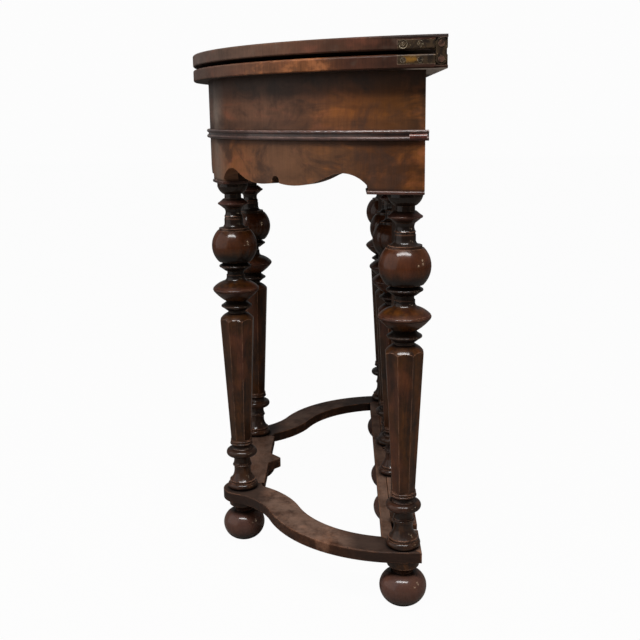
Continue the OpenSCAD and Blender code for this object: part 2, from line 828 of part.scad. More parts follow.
// Turned members below the shaft; z = 0 is the top of the stretcher
module foot_turning() {
    torus(0, base_torus_h, base_r);
    drum(fillet_z, bell_z, base_r - 3.2);
    flare(ankle_z, bell_z, neck_r + 0.4, base_r - 4);
    drum(ankle_z, thin_ring_z, neck_r + 0.4);
    sharp_ring(thin_ring_z, low_waist_z, neck_r + 2.5, neck_r + 0.6);
    waist(low_waist_z, low_torus_z, neck_r + 1.4, neck_r + 0.2);
    torus(low_torus_z, shaft_waist_z, base_r + 0.5);
    waist(shaft_waist_z, bead_z, neck_r + 3, neck_r + 1.6);
    torus(bead_z, bead_z + bead_h, shaft_bottom + 2.7);
    torus(bead_z + bead_h, shaft_low, shaft_bottom + 2);
}

// A turned leg from z0 to z1 with an eight-sided tapered shaft and a dowel at the bottom
module turned_leg(z0, z1) {
    low = z0 + shaft_low;
    high = z1 + shaft_high;
    shoulder = high - shoulder_h;
    corner = 1 / cos(22.5);
    spare = 0.4;
    tilt = atan((shaft_top - shaft_bottom) / (shoulder - low));
    difference() {
        rotate_extrude($fn = 120) {
            translate([0, z0]) foot_turning();
            translate([0, z1]) head_turning();
            polygon([[0, low], [shaft_bottom * corner + spare, low],
                [shaft_top * corner + spare, shoulder], [0, shoulder]]);
            slope(shoulder, high, shaft_top * corner + spare, neck_r + 1.8, 1.7);
            drum(foot_h - low_dowel_len, z0, low_dowel_r);
        }
        for (k = [0:7])
            rotate([0, 0, 45 * k]) translate([shaft_bottom, 0, low + 1]) rotate([0, tilt, 0])
                translate([0, -shaft_top, 0]) cube([shaft_top, 2 * shaft_top, high - low - 1]);
    }
}

// A fixed leg, with the dowel that enters its block
module fixed_leg(x, y) {
    translate([x, y, 0]) {
        turned_leg(stretcher_top, pad_z);
        translate([0, 0, pad_z]) cylinder(h = pad_t + top_dowel_len, r = top_dowel_r, $fn = 64);
    }
}

module leg_front_right() {
    color(walnut) fixed_leg(front_leg_x, front_leg_y);
}

module leg_front_left() {
    other_side() leg_front_right();
}

module leg_back_right() {
    color(walnut) fixed_leg(back_leg_x, back_leg_y);
}

module leg_back_left() {
    other_side() leg_back_right();
}

// A bun foot under a stretcher whose underside is at z
module bun_foot(x, y, z) {
    translate([x, y, 0]) difference() {
        rotate_extrude($fn = 120) {
            swell(foot_mid, 0, foot_r, foot_flat_r);
            swell(foot_mid, foot_neck_h, foot_r, neck_r + 1.6);
            flare(foot_neck_h, z - foot_flange_t, neck_r + 1.6, foot_flange_r);
            drum(z - foot_flange_t, z, foot_flange_r);
        }
        translate([0, 0, foot_h - low_dowel_len]) cylinder(h = foot_h, r = low_dowel_r, $fn = 64);
    }
}

module foot_front_right() {
    color(dark_walnut) bun_foot(front_leg_x, front_leg_y, foot_h);
}

module foot_front_left() {
    other_side() foot_front_right();
}

module foot_back_right() {
    color(dark_walnut) bun_foot(back_leg_x, back_leg_y, foot_h);
}

module foot_back_left() {
    other_side() foot_back_right();
}

// The hole that a leg's lower dowel passes through
module low_dowel(x, y) {
    translate([x, y, foot_h - 5]) cylinder(h = stretcher_t + 10, r = low_dowel_r, $fn = 64);
}

// Part of a flat bend of a stretcher about a centre
module bend(centre, r, w, a0, a1) {
    translate([centre[0], centre[1], foot_h])
        rotate_extrude(angle = a1 - a0, start = a0, $fn = 240)
            translate([r - w / 2, 0]) square([w, stretcher_t]);
}

module stretcher_right() {
    color(grey_walnut) difference() {
        union() {
            bend(bend_front, front_bend_r, side_w, bend_angle + 180 - bend_lap, front_leg_bearing);
            bend(bend_back, back_bend_r, side_w, bend_angle, 0);
            translate([back_leg_x - side_w / 2, back_leg_y, foot_h])
                cube([side_w, back_edge - back_leg_y, stretcher_t]);
            translate([front_leg_x, front_leg_y, foot_h]) cylinder(h = stretcher_t, r = pad_r, $fn = 96);
        }
        translate([0, 0, foot_h - 1]) linear_extrude(stretcher_t + 2)
            polygon([[mitre_in_x, back_front_edge], [mitre_out_x, back_edge],
                [mitre_out_x, back_edge + 5], [0, back_edge + 5], [0, back_front_edge]]);
        translate([-beyond, -beyond, foot_h - 1]) cube([beyond + front_joint_x, 2 * beyond, stretcher_t + 2]);
        low_dowel(front_leg_x, front_leg_y);
        low_dowel(back_leg_x, back_leg_y);
    }
}

module stretcher_left() {
    other_side() stretcher_right();
}

module stretcher_front() {
    color(grey_walnut) intersection() {
        union() {
            translate([-front_joint_x, front_inner_y - front_w, foot_h])
                cube([2 * front_joint_x, front_w, stretcher_t]);
            for (x = [-front_leg_x, front_leg_x]) translate([x, front_leg_y, foot_h])
                cylinder(h = stretcher_t, r = pad_r, $fn = 96);
            translate([0, 0, foot_h]) linear_extrude(stretcher_t)
                polygon([[-ear_w / 2, front_inner_y], [-ear_w / 2 + 3, front_inner_y - 5],
                    [ear_w / 2 - 3, front_inner_y - 5], [ear_w / 2, front_inner_y],
                    [3, front_inner_y + ear_out], [-2, front_inner_y + ear_out]]);
        }
        translate([-front_joint_x, -beyond, 0]) cube([2 * front_joint_x, 2 * beyond, table_h]);
    }
}

// The back stretcher: full width between and outside the gates, a narrow strip in front of
// their stretchers, and half-thick tongues under the two pivots
module stretcher_back() {
    color(grey_walnut) difference() {
        translate([0, 0, foot_h]) linear_extrude(stretcher_t)
            polygon([[-mitre_in_x, back_front_edge], [mitre_in_x, back_front_edge],
                [mitre_out_x, back_edge], [-mitre_out_x, back_edge]]);
        for (side = [0, 1]) mirror([side, 0, 0]) {
            difference() {
                translate([pocket_in_x, pocket_front_y, foot_h - 1])
                    cube([pocket_out_x - pocket_in_x, back_edge, stretcher_t + 2]);
                intersection() {
                    union() {
                        translate([gate_pivot_x, back_leg_y, foot_h - 2])
                            cylinder(h = stretcher_t / 2 + 2 - gate_clear / 2, r = tongue_r, $fn = 96);
                        translate([gate_pivot_x, back_leg_y - tongue_r, foot_h - 2])
                            cube([beyond, 2 * tongue_r, stretcher_t / 2 + 2 - gate_clear / 2]);
                    }
                    translate([tongue_x, 0, foot_h - 2]) cube([beyond, beyond, stretcher_t]);
                }
            }
            translate([gate_pivot_x, back_leg_y, foot_h - 5])
                cylinder(h = stretcher_t, r = pivot_r + pin_clear, $fn = 64);
            low_dowel(back_leg_x, back_leg_y);
        }
    }
}

module plate_lower_right() {
    color(brass) difference() {
        intersection() {
            plate_shape();
            half_round();
        }
        at_screws() screw_shape();
        pin_hole(0);
    }
}

// The hole for a hinge pin, with a clearance round it
module pin_hole(gap) {
    translate([recess_x - backing_t - 1, pivot_y, pivot_low_z])
        rotate([0, 90, 0]) cylinder(h = link_t + backing_t + 3, r = pin_r + gap, $fn = 48);
}

module plate_lower_left() {
    other_side() plate_lower_right();
}

module pin_lower_right() {
    color(steel) translate([recess_x - backing_t, pivot_y, pivot_low_z]) rotate([0, 90, 0]) {
        cylinder(h = link_t + backing_t + slide_clear + 0.1, r = pin_r, $fn = 48);
        translate([0, 0, link_t + backing_t + slide_clear + 0.1]) cylinder(h = head_t, r = head_r, $fn = 48);
    }
}

module pin_lower_left() {
    other_side() pin_lower_right();
}

module screws_lower_right() {
    color(steel) at_screws() screw_shape();
}

module screws_lower_left() {
    other_side() screws_lower_right();
}

// Outline of a link, its lower pivot at the origin, drawn as [forwards, upwards]
module link_plan() {
    reach = pivot_high_z - pivot_low_z;
    intersection() {
        union() {
            for (z = [0, reach]) translate([0, z]) circle(link_r, $fn = 64);
            translate([-link_r, 0]) square([2 * link_r, reach]);
        }
        translate([-link_r, -link_r]) square([link_r + pivot_depth - 0.1, reach + 2 * link_r]);
    }
}

module link_right() {
    color(brass) difference() {
        translate([link_in_x, pivot_y, pivot_low_z])
            rotate([90, 0, 90]) linear_extrude(link_t) mirror([1, 0]) link_plan();
        pin_hole(pin_clear);
        into_flap() pin_hole(pin_clear);
    }
}

module link_left() {
    other_side() link_right();
}

module plate_upper_right() {
    into_flap() plate_lower_right();
}

module plate_upper_left() {
    into_flap() plate_lower_left();
}

module pin_upper_right() {
    into_flap() pin_lower_right();
}

module pin_upper_left() {
    into_flap() pin_lower_left();
}

module screws_upper_right() {
    into_flap() screws_lower_right();
}

module screws_upper_left() {
    into_flap() screws_lower_left();
}

// Pivot post of a gate: a round post with a square upper part and a dowel at each end
module gate_post_right() {
    square_half = post_r + post_step;
    color(dark_walnut) translate([gate_pivot_x, back_leg_y, 0]) {
        translate([0, 0, foot_h + slide_clear]) cylinder(h = gate_high - foot_h, r = pivot_r, $fn = 64);
        rotate_extrude($fn = 96) {
            torus(gate_high, gate_high + post_ring_h, post_r + post_step);
            drum(gate_high, gate_rail_z, post_r);
        }
        translate([-square_half, -square_half, gate_rail_z - post_over])
            cube([2 * square_half, 2 * square_half, post_top - gate_rail_z + post_over]);
        translate([0, 0, post_top]) cylinder(h = cleat_h * 0.75, r = pivot_r, $fn = 64);
    }
}

module gate_post_left() {
    other_side() gate_post_right();
}

// Upper rail of a gate, between the head of its leg and its post
module gate_rail_right() {
    color(dark_walnut) translate([gate_leg_x + head_half, back_leg_y - gate_rail_t / 2, gate_rail_z])
        cube([gate_len - head_half - post_r - post_step, gate_rail_t, gate_rail_h]);
}

module gate_rail_left() {
    other_side() gate_rail_right();
}

// Lower stretcher of a gate: full thickness under its leg, half thickness over the fixed tongue
module gate_stretcher_right() {
    color(grey_walnut) difference() {
        translate([gate_pivot_x, back_leg_y, gate_low]) union() {
            translate([-gate_len, -gate_front_w, 0]) cube([gate_len, gate_front_w + gate_back_w, gate_high - gate_low]);
            intersection() {
                cylinder(h = gate_high - gate_low, r = gate_front_w, $fn = 96);
                translate([0, -gate_front_w, 0]) cube([gate_front_w, gate_front_w, stretcher_t * 2]);
            }
            cube([gate_front_w, gate_back_w, gate_high - gate_low]);
            intersection() {
                translate([-gate_len, 0, 0]) cylinder(h = gate_high - gate_low, r = gate_end, $fn = 96);
                translate([-gate_len - gate_end, -gate_front_w, 0])
                    cube([gate_end + 1, gate_front_w + gate_back_w, stretcher_t * 2]);
            }
        }
        translate([tongue_x, 0, gate_low - 1])
            cube([beyond, beyond, lap_z + gate_clear / 2 - gate_low + 1]);
        translate([gate_pivot_x, back_leg_y, foot_h]) cylinder(h = stretcher_t * 2, r = pivot_r, $fn = 64);
        low_dowel(gate_leg_x, back_leg_y);
    }
}

module gate_stretcher_left() {
    other_side() gate_stretcher_right();
}

// Leg of a gate: the same turning under a square head that carries the opened flap
module gate_leg_right() {
    color(walnut) translate([gate_leg_x, back_leg_y, 0]) {
        turned_leg(gate_high, pad_z);
        translate([-head_half, -head_half, pad_z]) cube([2 * head_half, 2 * head_half, gate_top - pad_z]);
    }
}

module gate_leg_left() {
    other_side() gate_leg_right();
}

module gate_foot_right() {
    color(dark_walnut) bun_foot(gate_leg_x, back_leg_y, gate_low);
}

module gate_foot_left() {
    other_side() gate_foot_right();
}

fixed_leaf();
frieze_right();
frieze_front();
frieze_left();
block_front_right();
block_front_left();
block_back_right();
block_back_left();
back_rail();
cleat_right();
cleat_left();
moulding_right();
moulding_front();
moulding_left();
moulding_patch();
pad_front_right();
pad_front_left();
pad_back_right();
pad_back_left();
leg_front_right();
leg_front_left();
leg_back_right();
leg_back_left();
foot_front_right();
foot_front_left();
foot_back_right();
foot_back_left();
stretcher_front();
stretcher_right();
stretcher_left();
stretcher_back();
rest_buttons();
plate_lower_right();
plate_lower_left();
pin_lower_right();
pin_lower_left();
screws_lower_right();
screws_lower_left();
link_right();
link_left();
flap_leaf();
plate_upper_right();
plate_upper_left();
pin_upper_right();
pin_upper_left();
screws_upper_right();
screws_upper_left();
gate_post_right();
gate_rail_right();
gate_stretcher_right();
gate_leg_right();
gate_foot_right();
gate_post_left();
gate_rail_left();
gate_stretcher_left();
gate_leg_left();
gate_foot_left();
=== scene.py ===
"""A half-round folding games table: worn walnut, glossy turnings and tarnished brass hinges."""

import json
import math

import bmesh
import bpy
from mathutils import Matrix, Vector


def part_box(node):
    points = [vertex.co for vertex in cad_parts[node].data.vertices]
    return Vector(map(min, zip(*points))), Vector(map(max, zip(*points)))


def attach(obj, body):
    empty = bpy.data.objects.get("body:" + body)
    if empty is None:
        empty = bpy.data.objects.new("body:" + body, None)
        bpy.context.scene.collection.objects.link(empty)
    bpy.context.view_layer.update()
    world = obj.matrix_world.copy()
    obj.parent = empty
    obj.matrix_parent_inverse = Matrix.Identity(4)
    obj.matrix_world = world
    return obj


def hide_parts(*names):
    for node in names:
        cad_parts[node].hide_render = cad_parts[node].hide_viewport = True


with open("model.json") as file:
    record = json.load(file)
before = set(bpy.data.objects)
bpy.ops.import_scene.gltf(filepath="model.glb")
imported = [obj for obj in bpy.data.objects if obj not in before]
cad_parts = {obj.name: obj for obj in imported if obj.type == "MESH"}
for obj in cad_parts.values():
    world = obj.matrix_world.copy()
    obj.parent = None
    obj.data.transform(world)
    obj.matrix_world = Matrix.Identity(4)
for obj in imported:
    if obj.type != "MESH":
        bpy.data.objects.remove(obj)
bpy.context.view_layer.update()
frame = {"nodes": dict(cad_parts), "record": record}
nodes = frame["nodes"]
bodies = frame["record"]["behaviour"]["bodies"]
body_of = {node: body for body, members in bodies.items() for node in members}
slot_of = {part["node"]: part["material_slot"] for part in frame["record"]["subparts"]}

# Sizes read from the frame, in metres
leaf_low, leaf_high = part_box("fixed_leaf")
flap_low, flap_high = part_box("flap_leaf")
leaf_depth = leaf_high.y - leaf_low.y
leaf_middle = (leaf_low.z + flap_high.z) / 2
leaf_half = (flap_high.z - leaf_low.z) / 2
curve_r = (leaf_depth ** 2 + leaf_high.x ** 2) / (2 * leaf_depth)
curve_y = leaf_low.y + curve_r
frieze_low, frieze_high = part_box("frieze_front")
frieze_r = curve_y - frieze_low.y
frieze_in = curve_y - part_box("block_front_right")[1].y
leg_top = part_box("pad_front_right")[0].z
front_end_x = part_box("stretcher_front")[1].x
side_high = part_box("stretcher_right")[1]
back_low, back_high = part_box("stretcher_back")
plate_low, plate_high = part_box("plate_lower_right")
link_front_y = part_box("link_right")[0].y
plate_half_h = (plate_high.z - plate_low.z) / 2


def tone(code):
    """A colour written as it looks on a screen, as the linear values that a shader takes."""
    parts = [int(code[i:i + 2], 16) / 255 for i in (0, 2, 4)]
    linear = [c / 12.92 if c <= 0.04045 else ((c + 0.055) / 1.055) ** 2.4 for c in parts]
    return (*linear, 1.0)


# The camera stands at the right end, a little below the level of the top
CAMERA_AT = Vector((1.4655, 0.0568, 0.6643))
CAMERA_YAW = 0.0298
CAMERA_PITCH = 0.2249
CAMERA_ROLL = -0.0148
CAMERA_LENS = 50.88


def photographer():
    """The camera, turned as it was held."""
    level = Vector((-math.cos(CAMERA_YAW), -math.sin(CAMERA_YAW), 0))
    side = level.cross(Vector((0, 0, 1))).normalized()
    aim = level * math.cos(CAMERA_PITCH) - Vector((0, 0, math.sin(CAMERA_PITCH)))
    up = side.cross(aim)
    right = side * math.cos(CAMERA_ROLL) + up * math.sin(CAMERA_ROLL)
    top = up * math.cos(CAMERA_ROLL) - side * math.sin(CAMERA_ROLL)
    data = bpy.data.cameras.new("camera")
    data.lens = CAMERA_LENS
    data.sensor_width = 36
    data.clip_start = 0.05
    camera = bpy.data.objects.new("camera", data)
    bpy.context.scene.collection.objects.link(camera)
    turn = Matrix((right, top, -aim)).transposed().to_4x4()
    camera.matrix_world = Matrix.Translation(CAMERA_AT) @ turn
    bpy.context.scene.camera = camera


def put(tree, kind, inputs=None, **settings):
    """Adds a shader node; an input may be a value or another node's output."""
    made = tree.nodes.new(kind)
    for key, value in settings.items():
        setattr(made, key, value)
    for key, value in (inputs or {}).items():
        if isinstance(value, bpy.types.NodeSocket):
            tree.links.new(value, made.inputs[key])
        else:
            made.inputs[key].default_value = value
    return made


def sums(tree, operation, a, b=0.0, c=0.0):
    """One step of arithmetic."""
    return put(tree, "ShaderNodeMath", {0: a, 1: b, 2: c}, operation=operation).outputs[0]


def product(tree, *shares):
    """Several shares multiplied together."""
    total = shares[0]
    for share in shares[1:]:
        total = sums(tree, "MULTIPLY", total, share)
    return total


def between(tree, value, low, high):
    """0 below low, 1 above high and smooth between them; turned round where low is the larger."""
    ends = {"Value": value, "From Min": low, "From Max": high}
    return put(tree, "ShaderNodeMapRange", ends, interpolation_type="SMOOTHSTEP").outputs[0]


def band(tree, value, low, high, soft):
    """1 from low to high, and 0 further off than soft."""
    rise = between(tree, value, low - soft, low + soft)
    return product(tree, rise, between(tree, value, high + soft, high - soft))


def blended(tree, share, a, b, how="MIX"):
    """Two colours mixed by a share."""
    mixer = put(tree, "ShaderNodeMix", {0: share, 6: a, 7: b}, data_type="RGBA", blend_type=how)
    return mixer.outputs[2]


def dimmed(tree, colour, share):
    """A colour multiplied by a share."""
    grey = put(tree, "ShaderNodeCombineColor", {0: share, 1: share, 2: share}).outputs[0]
    return blended(tree, 1.0, colour, grey, "MULTIPLY")


def tinted(tree, base, code, *shares):
    """A colour with a tone laid over it, by several shares multiplied together."""
    return blended(tree, product(tree, *shares), base, tone(code))


def ramp(tree, value, stops):
    """A colour read off along a row of [place, tone] stops."""
    made = put(tree, "ShaderNodeValToRGB", {0: value})
    row = made.color_ramp.elements
    for spot, code in stops[2:]:
        row.new(spot)
    for step, (spot, code) in zip(row, sorted(stops)):
        step.position = spot
        step.color = tone(code)
    return made.outputs[0]


def speckle(tree, place, scale, detail=4.0, rough=0.55, twist=0.0):
    """Noise at so many features to the metre, from 0 to 1."""
    inputs = {"Vector": place, "Scale": scale, "Detail": detail, "Roughness": rough, "Distortion": twist}
    return put(tree, "ShaderNodeTexNoise", inputs).outputs[0]


def stretched(tree, place, scale, shift=(0, 0, 0)):
    """A place with each of its directions stretched on its own."""
    made = put(tree, "ShaderNodeVectorMath", {0: place, 1: scale, 2: shift}, operation="MULTIPLY_ADD")
    return made.outputs[0]


def parts_of(tree, place):
    """The three values of a place."""
    return put(tree, "ShaderNodeSeparateXYZ", {0: place}).outputs


def own_place(tree):
    """A place on the piece, in metres."""
    return put(tree, "ShaderNodeTexCoord").outputs["Object"]


def facing_out(tree):
    """The direction that the surface faces."""
    return put(tree, "ShaderNodeNewGeometry").outputs["Normal"]


def edge_turn(tree, normal, radius):
    """1 on a flat, and less within a radius of an edge."""
    rounding = put(tree, "ShaderNodeBevel", {"Radius": radius}, samples=6)
    facing = put(tree, "ShaderNodeVectorMath", {0: rounding.outputs[0], 1: normal}, operation="DOT_PRODUCT")
    return facing.outputs["Value"]


def rounded_place(tree):
    """A place as [length along the curve, distance from its middle, height]."""
    x, y, z = parts_of(tree, own_place(tree))
    forward = sums(tree, "SUBTRACT", curve_y, y)
    along = sums(tree, "MULTIPLY", sums(tree, "ARCTAN2", x, forward), frieze_r)
    squares = sums(tree, "MULTIPLY_ADD", forward, forward, sums(tree, "MULTIPLY", x, x))
    return put(tree, "ShaderNodeCombineXYZ", {0: along, 1: sums(tree, "SQRT", squares), 2: z}).outputs[0]


def straight_place(grain):
    """A place turned so that the grain runs along its third direction."""
    order = {"x": (1, 2, 0), "y": (2, 0, 1), "z": (0, 1, 2)}[grain]

    def place(tree):
        split = parts_of(tree, own_place(tree))
        return put(tree, "ShaderNodeCombineXYZ", {i: split[order[i]] for i in range(3)}).outputs[0]
    return place


def fresh(name):
    """A new material, its node tree and its surface shader."""
    material = bpy.data.materials.new(name)
    material.use_nodes = True
    tree = material.node_tree
    return material, tree, tree.nodes["Principled BSDF"]


def walnut(name, place, dark, mid, light, regions=None, figure=0.5, patch_size=9.0, grain=1.0, wear_and_highlight=0.5,
           grime_and_shade=0.8, dust_and_highlight=0.0, gloss=0.35, specular=0.25, coat=0.0, wear_highlight_tone="7a4c30", reach=0.02,
           edge=0.0016, beside=False, dust_highlight_tone="74604f", dust_highlight_from=0.6, under=None):
    """Old walnut: fibres, pores and cloudy figure; hollows, and where asked the places beside other parts,
    darkened as painted shade with some grime; worn edges and dusty tops lightened, partly as a painted
    highlight.
    """
    material, tree, surface = fresh(name)
    spot = place(tree)
    clouds = speckle(tree, stretched(tree, spot, (1, 1, 0.5)), patch_size, 5, 0.62, 0.5)
    fibre = speckle(tree, stretched(tree, spot, (1, 1, 0.03)), 1000, 3, 0.65)
    streak = speckle(tree, stretched(tree, spot, (1, 1, 0.12)), 90, 5, 0.62, 0.5)
    curl = speckle(tree, stretched(tree, spot, (0.35, 0.35, 1)), 80, 2, 0.5, 1.5)
    pore = speckle(tree, stretched(tree, spot, (1, 1, 0.06)), 2100, 1, 0.4)

    veins = sums(tree, "MULTIPLY_ADD", curl, 0.15, sums(tree, "MULTIPLY", clouds, 0.25))
    veins = sums(tree, "MULTIPLY_ADD", streak, 0.6, veins)
    base = blended(tree, between(tree, veins, 0.36, 0.62), tone(dark), tone(mid))
    figured = between(tree, clouds, 0.66 - 0.2 * figure, 0.86 - 0.2 * figure)
    base = tinted(tree, base, light, figured, between(tree, veins, 0.34, 0.6))
    if regions:
        base = regions(tree, spot, base)
    fibrous = between(tree, fibre, 0.3, 0.72)
    base = dimmed(tree, base, sums(tree, "MULTIPLY_ADD", fibrous, 0.36 * grain, 1 - 0.2 * grain))
    base = tinted(tree, base, "150c09", between(tree, pore, 0.64, 0.8), 0.5 * grain)

    normal = facing_out(tree)
    up = parts_of(tree, normal)[2]
    shade = put(tree, "ShaderNodeAmbientOcclusion", {"Distance": reach}, samples=8, only_local=not beside)
    open_air = shade.outputs["AO"]
    hollow = between(tree, open_air, 0.85, 0.3)
    # Edges lightened towards the worn tone: partly wear, partly a painted highlight along them.
    worn_lit_edge = between(tree, edge_turn(tree, normal, edge), 0.995, 0.88)
    patchy = between(tree, speckle(tree, spot, 55, 4, 0.65), 0.34, 0.6)
    base = tinted(tree, base, wear_highlight_tone, worn_lit_edge, patchy, between(tree, open_air, 0.4, 0.75), wear_and_highlight)
    # Painted shade with some grime: darker in the piece's hollows, and beside other parts where beside is
    # set.
    base = tinted(tree, base, "0c0807", hollow, grime_and_shade)
    rough = sums(tree, "MULTIPLY_ADD", speckle(tree, spot, 40, 5, 0.65), 0.24, gloss - 0.1)
    rough = sums(tree, "MULTIPLY_ADD", hollow, 0.3, rough)
    # Up-facing tops lightened as a dusty film and as a painted highlight.
    if dust_and_highlight:
        dusty_lit_tops = product(tree, between(tree, up, dust_highlight_from, dust_highlight_from + 0.35),
                          between(tree, speckle(tree, spot, 26, 6, 0.7), 0.28, 0.62), dust_and_highlight)
        base = tinted(tree, base, dust_highlight_tone, dusty_lit_tops)
        rough = sums(tree, "MULTIPLY_ADD", dusty_lit_tops, 0.35, rough)
    # A leaf's underside: pale where it comes out behind the frieze, as painted light from below; dark within
    # the frame.
    if under:
        along = sums(tree, "ABSOLUTE", parts_of(tree, spot)[0])
        below = blended(tree, between(tree, along, *BEHIND_FRIEZE), tone("2f251f"), tone(under))
        base = blended(tree, between(tree, up, -0.7, -0.9), base, below)
    tree.links.new(base, surface.inputs["Base Color"])
    tree.links.new(rough, surface.inputs["Roughness"])
    surface.inputs["Specular IOR Level"].default_value = specular
    surface.inputs["Coat Weight"].default_value = coat
    surface.inputs["Coat Roughness"].default_value = 0.14

    worn_flat = speckle(tree, stretched(tree, spot, (1, 1, 0.35)), 42, 3, 0.5)
    relief = sums(tree, "MULTIPLY_ADD", fibre, 0.2, sums(tree, "MULTIPLY", pore, -0.3))
    relief = sums(tree, "MULTIPLY_ADD", worn_flat, 1.3, relief)
    bump = put(tree, "ShaderNodeBump", {"Strength": 0.3, "Distance": 0.0006, "Height": relief})
    tree.links.new(bump.outputs[0], surface.inputs["Normal"])
    return material


def metal(name, base, bright, dull, spot_tone=None):
    """Old metal: tarnish in clouds, edges brightened as wear and as a painted highlight, and fine scratches.
    """
    material, tree, surface = fresh(name)
    spot = own_place(tree)
    clouds = speckle(tree, spot, 120, 6, 0.7, 0.6)
    scratch = speckle(tree, stretched(tree, spot, (1, 0.12, 1)), 2200, 2, 0.6)
    colour = blended(tree, between(tree, clouds, 0.38, 0.64), tone(dull), tone(base))
    if spot_tone:
        colour = spot_tone(tree, spot, colour)
    # Edges brightened: partly wear, partly a painted highlight.
    worn_lit_edge = between(tree, edge_turn(tree, facing_out(tree), 0.0006), 0.995, 0.9)
    patchy = between(tree, speckle(tree, spot, 400, 3, 0.6), 0.35, 0.6)
    colour = tinted(tree, colour, bright, worn_lit_edge, patchy, 0.7)
    shade = put(tree, "ShaderNodeAmbientOcclusion", {"Distance": 0.0012}, samples=6)
    colour = tinted(tree, colour, "120d08", between(tree, shade.outputs["AO"], 0.8, 0.3), 0.85)
    tree.links.new(colour, surface.inputs["Base Color"])
    surface.inputs["Metallic"].default_value = 0.6
    tree.links.new(sums(tree, "MULTIPLY_ADD", clouds, 0.3, 0.3), surface.inputs["Roughness"])
    relief = sums(tree, "MULTIPLY_ADD", clouds, 0.8, product(tree, scratch, 0.2))
    bump = put(tree, "ShaderNodeBump", {"Strength": 0.25, "Distance": 0.0003, "Height": relief})
    tree.links.new(bump.outputs[0], surface.inputs["Normal"])
    return material


# Where the leaf's underside comes out behind the frieze, along its curve
BEHIND_FRIEZE = (0.49, 0.51)
# The leaves' cut edge, the band round their faces with its dark string, and their worn corners
RIM_DEPTH = 0.0032
BORDER_W = 0.046
STRING_W = 0.0013
ARRIS_W = 0.0012
# Heights above the frieze's lower edge: its sawn edge, the moulding, and the darkened strip it lies in
SAWN_EDGE = (0.001, 0.0045)
BEHIND_MOULDING = (0.055, 0.075)
DARKENED_STRIP = (0.055, 0.087)
# The shadow under the leaf, down from the frieze's upper edge
LEAF_SHADOW = (0.006, 0.042)
# Where a side stretcher turns black towards its front and its back leg, from the table's middle
BY_FRONT_LEG = (-0.055, -0.085)
BY_BACK_LEG = (0.035, 0.075)
# The bright patch of a lower plate: in from its front end, up from its lower and down from its upper edge
RUBBED_ALONG = (0.0055, 0.022)
RUBBED_UP = 0.0045
RUBBED_DOWN = 0.003

# Tones at so many metres round from the middle, on the leaves' edges and above and below the moulding
UPPER_EDGE = ((0.05, "53392b"), (0.12, "5d4e47"), (0.24, "533f34"), (0.34, "53392b"), (0.4, "452b1e"),
              (0.45, "361f14"), (0.52, "26140b"))
LOWER_EDGE = ((0.05, "50382c"), (0.12, "523f37"), (0.24, "50382c"), (0.33, "613c25"), (0.38, "623a1f"),
              (0.43, "3a1f13"), (0.5, "2c1911"))
# On the frieze the grey tones by the front legs, near 0.11 to 0.135, are partly wax bloom and partly a
# painted sheen of the window light.
UPPER_BOARD = ((0.06, "583d2d"), (0.11, "5d463a"), (0.135, "776a60"), (0.18, "60402f"), (0.3, "583c2c"),
               (0.38, "513322"), (0.43, "5c3415"), (0.48, "54300f"), (0.51, "301c0b"))
LOWER_BOARD = ((0.06, "5f402c"), (0.11, "61493a"), (0.135, "6a5a4e"), (0.2, "754727"), (0.3, "5a3d2a"),
               (0.4, "4e3320"), (0.45, "402410"), (0.51, "341c0a"))

# Bands on a leg: how far its lower and upper end are under the leg's top, softness, share and tone
LEG_BANDS = (
    # Near black by the neck below the leg's top: partly painted shade.
    (0.069, 0.002, 0.003, 0.8, "191310"),
    (0.0335, 0.0255, 0.002, 0.7, "462a23"),
    (0.1, 0.073, 0.006, 0.6, "432212"),
    # Black beneath the ball and down to the cup: partly painted shade.
    (0.1452, 0.106, 0.006, 0.92, "0b0706"),
    (0.166, 0.1535, 0.0022, 0.5, "3f221a"),
    (0.197, 0.176, 0.004, 0.8, "15100d"),
)
# Bands on a leg's base and on a foot: lower and upper end above the floor, softness, share and tone
FOOT_BANDS = (
    (0.088, 0.165, 0.008, 0.45, "231b18"),
    # Lighter on the belly of each foot: a painted sheen.
    (0.006, 0.05, 0.008, 0.65, "523831"),
)


